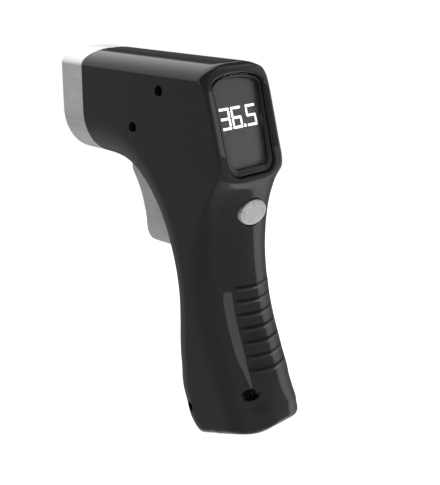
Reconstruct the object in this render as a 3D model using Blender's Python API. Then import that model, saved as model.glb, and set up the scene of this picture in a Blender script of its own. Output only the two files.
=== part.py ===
"""Forehead thermometer, pistol form: two shells, silver nose, trigger, display, button, battery door.

Everything is laid out in the barrel frame (mm): X runs forward to the nose, Y to the left,
Z up, with X = 0 on the front plane of the black shells.  One root empty then tips the whole
model so that its flat base stands on z = 0.
"""
import math

import bmesh
import bpy
import numpy as np
from mathutils import Matrix, Vector

for _o in list(bpy.data.objects):
    bpy.data.objects.remove(_o)

MM = 0.001

# ---------------------------------------------------------------- driving dimensions (mm)
HALF_WIDTH = 20.0          # flat sides of the housing
WALL = 2.0                 # housing wall
GAP = 0.3                  # clearance between neighbouring pieces
SEAM = 0.45                # parting line, just left of the middle so the base keeps a whole centre
NOSE_FRONT = 15.4          # front rim of the silver nose
BASE_X, BASE_Z = -88.0, -162.3
BASE_SLOPE = 0.34          # the base plane against the barrel
HEAD_SLOPE = 0.269         # the display plane against the vertical of the barrel frame
TOP_Z = 0.9                # top line of the barrel
TOP_ROUND = 18.0           # width of its rounded shoulders
SCREWS = [(-51.2, -11.9, 2.3), (-34.0, -29.6, 2.3), (-68.5, -154.0, 2.3), (-99.8, -139.4, 2.7)]
PIVOT_X, PIVOT_Z = -25.0, -43.4        # trigger pin
TRIGGER_HALF = 8.0
DOOR_PIN_X, DOOR_PIN_Z = -62.4, -152.0
DOOR_HALF, DOOR_TOP, DOOR_ARC = 12.0, -92.5, 6.3
TONGUE_HALF = 5.0
BUTTON_X, BUTTON_Z = -88.0, -61.6
BUTTON_A, BUTTON_B = 8.2, 5.5
CELL_R, CELL_LEN = 5.2, 44.5

BARREL_RISE = math.atan(BASE_SLOPE)


def base_z(x):
    return BASE_Z - (x - BASE_X) * BASE_SLOPE


def head_x(z):
    return -76.5 + HEAD_SLOPE * z


# ---------------------------------------------------------------- outline of the housing
# belly / rear / top: centre line x, z and how far the flat side sits inside it
BELLY = [(15.4, -48.2, 21.5), (0, -48.3, 21.5), (-10, -48.9, 21.5), (-17.5, -50.3, 21.0),
         (-24, -52.8, 20.0), (-29.6, -56.3, 18.5), (-34.4, -60.5, 17.5), (-38.2, -65, 17.0),
         (-42, -70.5, 16.5), (-45.2, -76.5, 16), (-48.0, -83, 15.5), (-50.4, -90, 15),
         (-52.2, -97, 14.5), (-53.4, -104.5, 14), (-53.7, -114, 14), (-53.6, -124, 14),
         (-53.9, -131, 14), (-54.6, -138, 14), (-55.6, -144, 13.5), (-57.4, -149.5, 12.8),
         (-60.1, -155.0, 12.3)]
REAR = [(-107.1, -147, 17.5), (-105.9, -143, 18.5), (-104.3, -137, 19.5), (-102.4, -131, 20.3),
        (-100.0, -125, 21), (-98.0, -119, 22), (-95.7, -113, 22), (-93.7, -107, 22),
        (-92.1, -101, 22), (-91.0, -95, 22), (-89.7, -88, 21), (-88.8, -80, 20),
        (-88.3, -72, 17.5), (-88.0, -64, 14), (-87.9, -57, 10.0)]
TOP = [(-69.5, TOP_Z, 7.0), (-60, TOP_Z, 7.0), (-40, TOP_Z, 7.0), (-20, TOP_Z, 7.0),
       (0, TOP_Z, 7.0), (NOSE_FRONT, TOP_Z, 7.0)]
# corners: centre x, z, side x, z and rounding width
FRONT_FOOT = [(-62.6, -160.2, -72.2, -155.7, 14), (-65.3, -163.8, -74.4, -159.0, 13.5),
              (-68.5, -166.5, -76.2, -160.6, 12.5),
              (-72.0, base_z(-72.0) + 0.35, -78.0, -161.3, 10.5),
              (-75.2, base_z(-75.2), -80.0, -160.8, 9.5),
              (-78.0, base_z(-78), -82.0, -160.1, 9), (-81.5, base_z(-81.5), -84.2, -159.1, 9)]
FOOT = [(-85.5, base_z(-85.5), -85.8, base_z(-85.5) + 4.0, 9),
        (-91.0, base_z(-91.0), -88.4, -158.1, 9)]
REAR_FOOT = [(-98.0, base_z(-98.0), -89.8, -157.5, 9), (-101.8, base_z(-101.8), -90.7, -157.0, 9.5),
             (-104.9, base_z(-104.9) + 0.15, -91.2, -156.4, 11),
             (-107.1, base_z(-107.1) + 1.1, -91.3, -155.6, 13.5),
             (-108.3, -153.0, -91.2, -154.8, 16), (-107.9, -150.2, -90.9, -153.8, 17)]
HEAD_LOW = [(-88.3, -51.0, -82.5, -49.2, 20), (-89.2, -47.8, -84.9, -45.2, 15),
            (-89.1, -46.3, -86.0, -43.0, 9), (-88.5, -44.2, -86.2, -41.0, 4.5),
            (-87.5, -40.5, -85.6, -37.4, 2.0)]
HEAD_MID = [(head_x(-34), -34, head_x(-34) + 1.4, -33.4, 1.6),
            (head_x(-22), -22, head_x(-22) + 1.4, -21.4, 1.6)]
HEAD_TOP = [(head_x(-11), -11.0, head_x(-11) + 1.5, -11.4, 1.6),
            (head_x(-6.5), -6.1, head_x(-6.5) + 1.9, -7.8, 3.0),
            (head_x(-3.2), -2.9, head_x(-3.2) + 2.6, -6.5, 5.5),
            (head_x(-1.6), -1.3, -74.0, -6.0, 9), (-76.3, -0.2, -72.6, -5.9, 13.5),
            (-74.6, 0.7, -71.4, -6.0, 17)]


def rounding(z):
    """Width of the rounded edge: less over the top and towards the foot, full elsewhere."""
    return TOP_ROUND if z > -1 else 20.0 - 6.0 * min(1.0, max(0.0, (-137 - z) / 17))


def with_side(keys):
    k = np.array(keys, float)
    t = np.gradient(k[:, :2], axis=0)
    t /= np.linalg.norm(t, axis=1)[:, None]
    n = np.stack([t[:, 1], -t[:, 0]], 1)
    s = k[:, :2] + n * k[:, 2:3]
    return [(a[0], a[1], b[0], b[1], rounding(a[1])) for a, b in zip(k, s)]


def smooth_keys(steps):
    keys = (with_side(BELLY) + FRONT_FOOT + FOOT + REAR_FOOT + with_side(REAR)
            + HEAD_LOW + HEAD_MID + HEAD_TOP + with_side(TOP))
    k = np.array(keys, float)
    p = np.vstack([2 * k[0] - k[1], k, 2 * k[-1] - k[-2]])
    out = []
    for i in range(1, len(p) - 2):
        a, b, c, d = p[i - 1:i + 3]
        for j in range(steps):
            t = j / steps
            q = 2 * b + (c - a) * t + (2 * a - 5 * b + 4 * c - d) * t * t
            out.append(0.5 * (q + (3 * b - a - 3 * c + d) * t ** 3))
    out.append(k[-1])
    out = np.array(out)
    out[:, 4] = np.clip(out[:, 4], 1.4, 20.0)
    return out


# ---------------------------------------------------------------- mesh helpers
ROOT = bpy.data.objects.new("root", None)
bpy.context.collection.objects.link(ROOT)
MATERIALS = {}


def material(name, colour, rough=0.5, metal=0.0, alpha=1.0):
    if name not in MATERIALS:
        m = bpy.data.materials.new(name)
        m.use_nodes = True
        b = m.node_tree.nodes["Principled BSDF"]
        b.inputs["Base Color"].default_value = (*colour, 1.0)
        b.inputs["Roughness"].default_value = rough
        b.inputs["Metallic"].default_value = metal
        b.inputs["Alpha"].default_value = alpha
        MATERIALS[name] = m
    return MATERIALS[name]


def raw(name, verts, faces):
    me = bpy.data.meshes.new(name)
    me.from_pydata([tuple(v) for v in verts], [], faces)
    bm = bmesh.new()
    bm.from_mesh(me)
    bmesh.ops.remove_doubles(bm, verts=bm.verts, dist=1e-5)
    bmesh.ops.dissolve_degenerate(bm, edges=bm.edges, dist=1e-5)
    bmesh.ops.recalc_face_normals(bm, faces=bm.faces)
    bm.to_mesh(me)
    bm.free()
    ob = bpy.data.objects.new(name, me)
    bpy.context.collection.objects.link(ob)
    return ob


def combine(a, b, op):
    m = a.modifiers.new("bool", "BOOLEAN")
    m.operation = op
    m.solver = "EXACT"
    m.object = b
    b.hide_render = True
    b.display_type = "WIRE"
    dg = bpy.context.evaluated_depsgraph_get()
    dg.update()
    me = bpy.data.meshes.new_from_object(a.evaluated_get(dg))
    a.modifiers.clear()
    a.data = me
    bpy.data.objects.remove(b)
    return a


def cut(a, *tools):
    for t in tools:
        combine(a, t, "DIFFERENCE")
    return a


def fuse(a, *parts):
    for t in parts:
        combine(a, t, "UNION")
    return a


def keep(a, t):
    return combine(a, t, "INTERSECT")


def copy_of(a, name):
    ob = bpy.data.objects.new(name, a.data.copy())
    bpy.context.collection.objects.link(ob)
    return ob


def slab(x0, x1, y0, y1, z0, z1):
    vs = [(x, y, z) for x in (x0, x1) for y in (y0, y1) for z in (z0, z1)]
    fs = [(0, 1, 3, 2), (4, 6, 7, 5), (0, 4, 5, 1), (2, 3, 7, 6), (0, 2, 6, 4), (1, 5, 7, 3)]
    return raw("slab", vs, fs)


def prism(points, at, u, v, c0, c1):
    """Closed prism over a flat outline given in the u, v directions from `at`."""
    at, u, v = Vector(at), Vector(u).normalized(), Vector(v).normalized()
    n = u.cross(v)
    k = len(points)
    vs = [at + u * p[0] + v * p[1] + n * c for c in (c0, c1) for p in points]
    fs = [tuple(range(k)), tuple(range(2 * k - 1, k - 1, -1))]
    fs += [(i, (i + 1) % k, k + (i + 1) % k, k + i) for i in range(k)]
    return raw("prism", vs, fs)


def oval(a, b, count=40):
    t = [2 * math.pi * i / count for i in range(count)]
    return [(a * math.cos(x), b * math.sin(x)) for x in t]


def rounded(hw, hh, r, n=5):
    pts = []
    for cx, cy, s in ((hw - r, hh - r, 0), (r - hw, hh - r, 1), (r - hw, r - hh, 2), (hw - r, r - hh, 3)):
        for i in range(n + 1):
            t = math.pi / 2 * (s + i / n)
            pts.append((cx + r * math.cos(t), cy + r * math.sin(t)))
    return pts


def rod(p0, p1, r, count=24):
    p0, p1 = Vector(p0), Vector(p1)
    n = (p1 - p0).normalized()
    u = n.orthogonal().normalized()
    v = n.cross(u)
    vs = []
    for p in (p0, p1):
        for i in range(count):
            t = 2 * math.pi * i / count
            vs.append(p + u * (r * math.cos(t)) + v * (r * math.sin(t)))
    fs = [tuple(range(count)), tuple(range(2 * count - 1, count - 1, -1))]
    fs += [(i, (i + 1) % count, count + (i + 1) % count, count + i) for i in range(count)]
    return raw("rod", vs, fs)


def turned(profile, p0, axis, count=24):
    """Solid of revolution: (distance along axis, radius) pairs, closed on the axis or as a ring."""
    p0, n = Vector(p0), Vector(axis).normalized()
    u = n.orthogonal().normalized()
    v = n.cross(u)
    k = len(profile)
    vs = []
    for i in range(count):
        t = 2 * math.pi * i / count
        d = u * math.cos(t) + v * math.sin(t)
        vs += [p0 + n * a + d * r for a, r in profile]
    fs = []
    for i in range(count):
        j = (i + 1) % count
        for q in range(k):
            w = (q + 1) % k
            fs.append((i * k + q, i * k + w, j * k + w, j * k + q))
    return raw("turned", vs, fs)


def helix(p0, axis, radius, wire, turns, pitch, count=12, sides=5):
    """Closed round wire wound along the axis."""
    p0, n = Vector(p0), Vector(axis).normalized()
    u = n.orthogonal().normalized()
    v = n.cross(u)
    total = int(turns * count)
    vs, fs = [], []
    for i in range(total + 1):
        t = 2 * math.pi * i / count
        d = u * math.cos(t) + v * math.sin(t)
        c = p0 + n * (pitch * i / count) + d * radius
        for s in range(sides):
            w = 2 * math.pi * s / sides
            vs.append(c + d * (wire * math.cos(w)) + n * (wire * math.sin(w)))
    for i in range(total):
        for s in range(sides):
            q = (s + 1) % sides
            fs.append((i * sides + s, i * sides + q, (i + 1) * sides + q, (i + 1) * sides + s))
    fs.append(tuple(range(sides)))
    fs.append(tuple(range(total * sides + sides - 1, total * sides - 1, -1)))
    return raw("helix", vs, fs)


def loft(steps, rings, inset=0.0):
    """Housing solid, or the same form drawn in by `inset` on every side."""
    o = smooth_keys(steps)
    n = len(o)
    half = HALF_WIDTH - inset
    if inset:
        for cols, share in (((0, 1), 1.0), ((2, 3), 0.45)):
            p = o[:, cols]
            t = np.roll(p, -1, 0) - np.roll(p, 1, 0)
            t[0], t[-1] = p[1] - p[0], p[-1] - p[-2]
            t /= np.linalg.norm(t, axis=1)[:, None] + 1e-9
            o[:, cols] = p + np.stack([t[:, 1], -t[:, 0]], 1) * inset * share
        o[:, 4] = 1.0 + (o[:, 4] - 2.0) * (half - 1.0) / (HALF_WIDTH - 2.0)
        o[0, 0] = o[0, 2] = o[-1, 0] = o[-1, 2] = NOSE_FRONT + 3.0
    rows = []
    for k in range(-rings, rings + 1):
        a = math.pi / 2 * abs(k) / rings
        y = half - o[:, 4] + o[:, 4] * math.sin(a)
        if k <= 0:
            rows.append((math.cos(a), -y))
        if k >= 0:
            rows.append((math.cos(a), y))
    vs = []
    for c, y in rows:
        x = o[:, 2] + (o[:, 0] - o[:, 2]) * c
        z = o[:, 3] + (o[:, 1] - o[:, 3]) * c
        vs += [(x[i], y[i], z[i]) for i in range(n)]
    m = len(rows)
    fs = []
    for k in range(m - 1):
        for i in range(n):
            j = (i + 1) % n
            fs.append((k * n + i, k * n + j, (k + 1) * n + j, (k + 1) * n + i))
    fs.append(tuple(range(n)))
    fs.append(tuple(range(m * n - 1, (m - 1) * n - 1, -1)))
    return raw("loft", vs, fs)


def finish(ob, name, mat, origin=None):
    """Name it, scale to metres, hang it on the root (or a given joint origin) and shade it."""
    ob.name = name
    ob.data.name = name
    o = Vector(origin) if origin else Vector((0, 0, 0))
    ob.data.transform(Matrix.Scale(MM, 4) @ Matrix.Translation(-o))
    bm = bmesh.new()
    bm.from_mesh(ob.data)
    bmesh.ops.triangulate(bm, faces=[f for f in bm.faces if len(f.verts) > 4])
    bm.to_mesh(ob.data)
    bm.free()
    ob.location = o * MM
    ob.parent = ROOT
    ob.data.materials.clear()
    ob.data.materials.append(material(*mat))
    ob.data.shade_smooth()
    ob.data.set_sharp_from_angle(angle=math.radians(30))
    return ob


BLACK = ("black_plastic", (0.025, 0.025, 0.027), 0.28)
INNER_BLACK = ("dark_plastic", (0.03, 0.03, 0.032), 0.55)
SILVER = ("silver_paint", (0.55, 0.55, 0.56), 0.35, 0.7)
STEEL = ("steel", (0.6, 0.6, 0.6), 0.3, 1.0)
BRASS = ("plated_steel", (0.75, 0.72, 0.62), 0.3, 1.0)
BOARD = ("board_green", (0.03, 0.16, 0.07), 0.5)
CHIP = ("chip_black", (0.02, 0.02, 0.02), 0.5)
LENS = ("clear_lens", (0.6, 0.62, 0.62), 0.05, 0.0, 0.35)
LCD = ("lcd_grey", (0.09, 0.09, 0.09), 0.2)
WHITE = ("white_plastic", (0.8, 0.8, 0.78), 0.4)
GUNMETAL = ("can_metal", (0.5, 0.5, 0.5), 0.25, 1.0)
IRGLASS = ("filter_glass", (0.05, 0.06, 0.09), 0.08)
RUBBER = ("grey_rubber", (0.12, 0.12, 0.12), 0.8)
CELL = ("cell_wrap", (0.1, 0.22, 0.4), 0.35)

# ---------------------------------------------------------------- display frame
UP = Vector((HEAD_SLOPE, 0, 1)).normalized()
OUT = Vector((0, 1, 0)).cross(UP)
OUT = OUT if OUT.x < 0 else -OUT
FACE = Vector((head_x(-22.6), 0, -22.6))
SIDE = UP.cross(OUT)


def window(hw_top, hw_low, v_top, v_low, arch, r_low):
    """Display outline: arched top, leaning sides, rounded lower corners."""
    pts = []
    for i in range(9):
        t = math.pi / 2 * (1 - i / 8)
        pts.append((hw_top * math.sin(t), v_top - arch * (1 - math.cos(t))))
    right = pts[:]
    left = [(-x, y) for x, y in reversed(pts[:-1])]
    low = []
    for i in range(7):
        t = math.pi / 2 * i / 6
        low.append((-hw_low + r_low - r_low * math.cos(t), v_low + r_low - r_low * math.sin(t)))
    lowr = [(-x, y) for x, y in reversed(low)]
    return right + left + low + lowr


def display_prism(points, c0, c1):
    ob = prism(points, FACE, SIDE, UP, 0, 1)
    ob_n = SIDE.cross(UP)
    s = 1 if ob_n.dot(OUT) > 0 else -1
    bpy.data.objects.remove(ob)
    return prism(points, FACE, SIDE, UP, min(s * c0, s * c1), max(s * c0, s * c1))


# ---------------------------------------------------------------- housing
outer = loft(3, 6)
inner = loft(1, 4, WALL)
mid = loft(1, 4, WALL * 0.5)
OPENING = window(15.3, 14.4, 19.6, -23.4, 4.6, 6.5)
BN = Vector((-1, 0, 0))
BT = Vector((0, 0, 1))
BUTTON = Vector((BUTTON_X, 0, BUTTON_Z))


def button_prism(a, b, c0, c1, count=40):
    s = 1 if Vector((0, 1, 0)).cross(BT).dot(BN) > 0 else -1
    return prism(oval(a, b, count), BUTTON, (0, 1, 0), BT, min(s * c0, s * c1), max(s * c0, s * c1))


SLOT = [(-18.7, -44.5), (-18.7, -60), (-28, -86), (-44, -86), (-49.8, -86.2), (-56, -86.2), (-56, -60)]


def half_shell(name, y0, y1):
    ob = keep(copy_of(outer, name), slab(-150, 0, y0, y1, -200, 40))
    cut(ob, copy_of(inner, "c1"))
    cut(ob, display_prism(OPENING, 6, -6))
    cut(ob, button_prism(BUTTON_A + 0.38, BUTTON_B + 0.38, 8, -8))
    cut(ob, prism(SLOT, (0, 0, 0), (1, 0, 0), (0, 0, 1), -TRIGGER_HALF - 0.4, TRIGGER_HALF + 0.4))
    bay = slab(-72, -40, -DOOR_HALF - GAP, DOOR_HALF + GAP, DOOR_PIN_Z + 0.11, DOOR_TOP + GAP)
    cut(bay, rod((DOOR_PIN_X, -20, DOOR_PIN_Z), (DOOR_PIN_X, 20, DOOR_PIN_Z), DOOR_ARC - GAP, 40))
    gap = TONGUE_HALF + GAP
    turn = [math.radians(90 + 15 * i) for i in range(18)]
    poly = [(4.5 * math.cos(t), 4.5 * math.sin(t)) for t in turn] + [(12, -1.2), (12, 7), (0.2, 7)]
    poly = [(DOOR_PIN_X + p, DOOR_PIN_Z + q) for p, q in poly]
    fuse(bay, prism(poly, (0, 0, 0), (1, 0, 0), (0, 0, 1), -gap, gap))
    cut(ob, bay)
    return ob


left = half_shell("left", SEAM + 0.5 * GAP, 30)
right = half_shell("right", -30, SEAM - 0.5 * GAP)
for sx, sz, sr in SCREWS:
    fuse(left, keep(rod((sx, 0.8, sz), (sx, 19.0, sz), sr + 1.5), copy_of(mid, "k")))
    cut(left, rod((sx, 6.5, sz), (sx, 30, sz), sr), rod((sx, -2, sz), (sx, 12, sz), 1.25, 16))
    fuse(right, keep(rod((sx, -18.6, sz), (sx, 0.15, sz), 3.0), copy_of(mid, "k")))
    cut(right, rod((sx, -12.0, sz), (sx, 6, sz), 1.3, 16))
# seats that carry the trigger pin and the door pin
for ob, s in ((left, 1), (right, -1)):
    seat = keep(slab(PIVOT_X - 2.6, PIVOT_X + 2.6, 9.0, 19, PIVOT_Z - 2.6, PIVOT_Z + 2.6), copy_of(mid, "k"))
    if s < 0:
        seat.data.transform(Matrix.Scale(-1, 4, (0, 1, 0)))
        seat.data.flip_normals()
    fuse(ob, seat)
    cut(ob, rod((PIVOT_X, s * 8, PIVOT_Z), (PIVOT_X, s * 14, PIVOT_Z), 1.35, 16))
    y0, y1 = sorted((s * 5.6, s * 9.0))
    fuse(ob, keep(slab(DOOR_PIN_X - 2.2, -57, y0, y1, DOOR_PIN_Z - 2.4, DOOR_PIN_Z + 2.0), copy_of(mid, "k")))
    cut(ob, rod((DOOR_PIN_X, s * 5, DOOR_PIN_Z), (DOOR_PIN_X, s * 8.3, DOOR_PIN_Z), 1.05, 16))
finish(left, "left_shell", BLACK)
finish(right, "right_shell", BLACK)

# ---------------------------------------------------------------- nose
nose = keep(copy_of(outer, "nose"), slab(GAP, 40, -30, 30, -70, 20))
cut(nose, keep(copy_of(inner, "c"), slab(1.8, 40, -30, 30, -70, 20)))
throat = loft(1, 4, WALL + 1.7)
spigot = keep(loft(1, 4, WALL + 0.35), slab(-5.0, 1.2, -30, 30, -70, 20))
fuse(nose, spigot)
cut(nose, keep(throat, slab(-10, 3, -30, 30, -70, 20)))
cut(nose, slab(-8, 0, -9, 9, -60, -40))
finish(nose, "nose_ring", SILVER)
plate = keep(loft(1, 4, WALL + 0.35), slab(12.2, 13.7, -30, 30, -70, 20))
AXIS_Z = -23.0
cut(plate, rod((5, 0, AXIS_Z), (20, 0, AXIS_Z), 9.3, 32))
finish(plate, "nose_plate", INNER_BLACK)
funnel = turned([(-8.0, 5.2), (13.4, 8.3), (13.4, 9.0), (11.7, 9.0), (11.7, 10.6), (10.7, 10.6), (9.6, 8.9),
                 (-8.0, 6.2)], (0, 0, AXIS_Z), (1, 0, 0), 32)
finish(funnel, "sensor_funnel", GUNMETAL)
finish(turned([(-16.6, 2.0), (-16.6, 7.2), (-9.0, 7.2), (-9.0, 5.2), (-14.4, 5.2), (-14.4, 2.0)],
              (0, 0, AXIS_Z), (1, 0, 0)), "sensor_holder", INNER_BLACK)
can = turned([(-14.0, 0.01), (-14.0, 4.8), (-13.2, 4.8), (-13.2, 4.2), (-9.2, 4.2), (-9.2, 2.0), (-10.0, 2.0),
              (-10.0, 0.01)], (0, 0, AXIS_Z), (1, 0, 0))
finish(can, "thermopile_can", GUNMETAL)
finish(rod((-9.75, 0, AXIS_Z), (-9.3, 0, AXIS_Z), 1.75, 20), "thermopile_window", IRGLASS)
board = slab(-18.6, -17.2, -9, 9, AXIS_Z - 8, AXIS_Z + 8)
finish(board, "sensor_board", BOARD)
for i, tag in enumerate("abcd"):
    t = math.pi / 4 + math.pi / 2 * i
    dy, dz = 1.3 * math.cos(t), 1.3 * math.sin(t)
    lead = rod((-16.9, dy, AXIS_Z + dz), (-14.3, dy, AXIS_Z + dz), 0.3, 10)
    finish(lead, "sensor_lead_" + tag, BRASS)

# ---------------------------------------------------------------- trigger
FACE_LINE = [(-21.0, -52.4), (-24.2, -57.4), (-26.9, -63.0), (-28.8, -69.0), (-30.0, -75.5), (-30.7, -81.0),
             (-32.0, -83.6), (-35.0, -84.6), (-40.0, -84.7), (-45.0, -84.6), (-48.6, -84.0)]
BACK_LINE = [(-47.0, -78), (-42.5, -69.0), (-37.0, -61.5), (-32.0, -54.0), (-28.8, -47.0), (-28.0, -41.6),
             (-26.5, -40.2), (-23.5, -40.2), (-22.0, -41.6), (-20.6, -48.4)]
trigger = prism(FACE_LINE + BACK_LINE, (0, 0, 0), (1, 0, 0), (0, 0, 1), -TRIGGER_HALF, TRIGGER_HALF)
cut(trigger, rod((PIVOT_X, -9, PIVOT_Z), (PIVOT_X, 9, PIVOT_Z), 1.5, 20))
cut(trigger, slab(-31, -18, -3.6, 3.6, -46.4, -38))
finish(trigger, "trigger", SILVER, (PIVOT_X, 0, PIVOT_Z))
finish(rod((PIVOT_X, -13, PIVOT_Z), (PIVOT_X, 13, PIVOT_Z), 1.1, 16), "trigger_pin", STEEL)
finish(helix((PIVOT_X, -2.9, PIVOT_Z), (0, 1, 0), 1.75, 0.28, 5.0, 1.1), "trigger_spring", STEEL)
SWITCH_Z = -73.0
finish(slab(-58.6, -53.7, -4, 4, SWITCH_Z - 4, SWITCH_Z + 4), "trigger_switch_body", CHIP)
finish(rod((-53.1, 0, SWITCH_Z), (-51.0, 0, SWITCH_Z), 1.4, 16), "trigger_switch_plunger", WHITE,
       (-53.1, 0, SWITCH_Z))
finish(slab(-60.4, -58.9, -12, 12, SWITCH_Z - 8, SWITCH_Z + 6), "trigger_switch_board", BOARD)

# ---------------------------------------------------------------- display stack
WINDOW = window(12.6, 10.9, 16.6, -19.8, 3.2, 3.6)
bezel = display_prism(window(14.95, 14.05, 19.2, -23.0, 4.5, 6.2), -0.8, -4.2)
cut(bezel, display_prism(WINDOW, 1, -8))
finish(bezel, "display_bezel", INNER_BLACK)
finish(display_prism(window(12.25, 10.55, 16.2, -19.4, 3.1, 3.3), -1.8, -3.0), "display_lens", LENS)
finish(display_prism(window(12.25, 10.55, 16.2, -19.4, 3.1, 3.3), -3.3, -4.2), "lcd_glass", LCD)
frame = display_prism(rounded(14.2, 20.6, 1.0), -6.2, -8.6)
cut(frame, display_prism(rounded(12.9, 17.4, 0.5), 0, -12))
finish(frame, "lcd_frame", WHITE)
finish(display_prism(rounded(12.4, 16.9, 0.4), -6.2, -8.6), "backlight_panel", WHITE)
finish(display_prism(rounded(13.2, 18.2, 0.6), -4.6, -5.9), "lcd_rear_glass", LCD)
z1 = display_prism([(-11, 18.6), (11, 18.6), (11, 20.2), (-11, 20.2)], -8.9, -11.4)
finish(z1, "lcd_contact_strip", RUBBER)
main = display_prism(rounded(15.0, 22.0, 1.0), -11.8, -13.3)
finish(main, "main_board", BOARD)
finish(display_prism(rounded(5.0, 5.0, 0.3), -13.6, -15.2), "main_chip", CHIP)
finish(display_prism([(-11, -17), (-6, -17), (-6, -12), (-11, -12)], -13.6, -15.4), "display_driver", CHIP)
finish(display_prism([(2, -16), (8, -16), (8, -12.5), (2, -12.5)], -13.6, -16.2), "crystal", STEEL)
finish(rod(FACE + SIDE * 11.5 + UP * 12 - OUT * 13.6, FACE + SIDE * 11.5 + UP * 12 - OUT * 18.6, 2.2, 20),
       "capacitor", CHIP)
BUZZ = FACE + UP * 14.0 - OUT * 13.6
finish(turned([(0, 0.8), (0, 5.6), (4.2, 5.6), (4.2, 0.8)], BUZZ, -OUT, 28), "buzzer", CHIP)
for a, tag in ((-12.4, "a"), (12.4, "b")):
    p0 = FACE + SIDE * a - OUT * 13.6
    q = fuse(rod(p0, p0 - OUT * 1.2, 1.9, 16), rod(p0 - OUT * 1.0, p0 - OUT * 1.6, 1.2, 16))
    finish(q, "board_screw_" + tag, STEEL)

# ---------------------------------------------------------------- mode button
SEEN = 1 if Vector((0, 1, 0)).cross(BT).dot(BN) > 0 else -1


def button_plate(hw, hh, r, depth, thick):
    at = BUTTON - BN * depth
    return prism(rounded(hw, hh, r), at, (0, 1, 0), BT, min(0, -thick * SEEN), max(0, -thick * SEEN))


cap = button_prism(BUTTON_A, BUTTON_B, 0.9, -4.4)
fuse(cap, button_prism(BUTTON_A + 0.9, BUTTON_B + 0.9, -4.0, -4.9))
finish(cap, "mode_button", SILVER, tuple(BUTTON))
PLUNGER = BUTTON - BN * 5.3
finish(rod(PLUNGER, PLUNGER - BN * 0.6, 1.7, 20), "button_switch_plunger", WHITE, tuple(PLUNGER))
finish(button_plate(3, 3, 0.3, 6.4, 3.05), "button_switch_body", CHIP)
finish(button_plate(10, 6.5, 0.8, 9.75, 1.4), "button_board", BOARD)

# ---------------------------------------------------------------- battery bay
door = cut(copy_of(outer, "door"), copy_of(inner, "c"))
keep(door, slab(-72, -40, -DOOR_HALF, DOOR_HALF, DOOR_PIN_Z, DOOR_TOP))
cut(door, rod((DOOR_PIN_X, -20, DOOR_PIN_Z), (DOOR_PIN_X, 20, DOOR_PIN_Z), DOOR_ARC, 40))
TONGUE = [(-1.9, -1.2), (-0.9, -1.9), (1.0, -1.9), (2.2, -0.9), (12, -0.9), (12, 8.5), (3.6, 8.5), (2.2, 5.0),
          (-1.4, 1.6)]
poly = [(DOOR_PIN_X + p, DOOR_PIN_Z + q) for p, q in TONGUE]
tongue = prism(poly, (0, 0, 0), (1, 0, 0), (0, 0, 1), -TONGUE_HALF, TONGUE_HALF)
fuse(door, keep(tongue, loft(2, 5, 0.02)))
cut(door, rod((DOOR_PIN_X, -14, DOOR_PIN_Z), (DOOR_PIN_X, 14, DOOR_PIN_Z), 1.05, 16))
finish(door, "battery_door", BLACK, (DOOR_PIN_X, 0, DOOR_PIN_Z))
door_pin = rod((DOOR_PIN_X, -8.0, DOOR_PIN_Z), (DOOR_PIN_X, 8.0, DOOR_PIN_Z), 0.75, 16)
finish(door_pin, "battery_door_pin", STEEL)
TX0, TX1, TZ0, TZ1 = -72.2, -62.4, -144.8, -93.6
tray = slab(TX0, TX1, -12.2, 12.2, TZ0, TZ1)
cut(tray, slab(TX0 + 1.2, TX1 + 5, -11.0, 11.0, TZ0 + 1.2, TZ1 - 1.2))
fuse(tray, slab(TX0 + 1.0, TX0 + 5, -0.22, 0.22, TZ0 + 1, TZ1 - 1))
finish(tray, "battery_tray", INNER_BLACK)
CX = TX0 + 1.2 + 0.4 + CELL_R
LOW, HIGH = TZ0 + 1.2, TZ1 - 1.2
prof = [(0, 0.01), (0, CELL_R), (CELL_LEN - 1.0, CELL_R), (CELL_LEN - 1.0, 1.9), (CELL_LEN, 1.9),
        (CELL_LEN, 0.01)]
finish(turned(prof, (CX, 5.6, LOW + 3.2), (0, 0, 1), 20), "battery_a", CELL)
finish(turned(prof, (CX, -5.6, HIGH - 3.2), (0, 0, -1), 20), "battery_b", CELL)
finish(helix((CX, 5.6, LOW + 0.7), (0, 0, 1), 3.0, 0.3, 2.2, 0.8), "battery_spring_a", STEEL)
finish(helix((CX, -5.6, HIGH - 0.7), (0, 0, -1), 3.0, 0.3, 2.2, 0.8), "battery_spring_b", STEEL)
finish(slab(CX - 3.6, CX + 3.6, 2.0, 9.2, HIGH - 0.7, HIGH - 0.3), "contact_plate_upper", BRASS)
finish(slab(CX - 3.6, CX + 3.6, -9.2, -2.0, LOW + 0.3, LOW + 0.7), "contact_plate_lower", BRASS)

# ---------------------------------------------------------------- housing screws
for (sx, sz, sr), tag in zip(SCREWS, "abcd"):
    head = turned([(6.8, 0.01), (6.8, sr - 0.35), (8.4, sr - 0.35), (8.4, 0.9), (7.7, 0.6), (7.7, 0.01)],
                  (sx, 0, sz), (0, 1, 0), 14)
    fuse(head, rod((sx, -9.5, sz), (sx, 7.0, sz), 0.95, 10))
    finish(head, "shell_screw_" + tag, STEEL)

bpy.data.objects.remove(outer)
bpy.data.objects.remove(inner)
bpy.data.objects.remove(mid)

# ---------------------------------------------------------------- stand it on its base
ROOT.matrix_world = (Matrix.Rotation(-BARREL_RISE, 4, "Y")
                     @ Matrix.Translation(Vector((-BASE_X * MM, 0, -BASE_Z * MM))))
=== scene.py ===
"""Looks for the pistol-shaped forehead thermometer.

Every piece is modelled in the barrel frame (mm: X forward to the nose, Y left, Z up, X = 0 on
the front plane of the black housing) and PLACE stands it on the floor in the CAD's own frame.
"""
import math
import bmesh
import bpy
import numpy as np
from mathutils import Matrix, Vector


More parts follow.
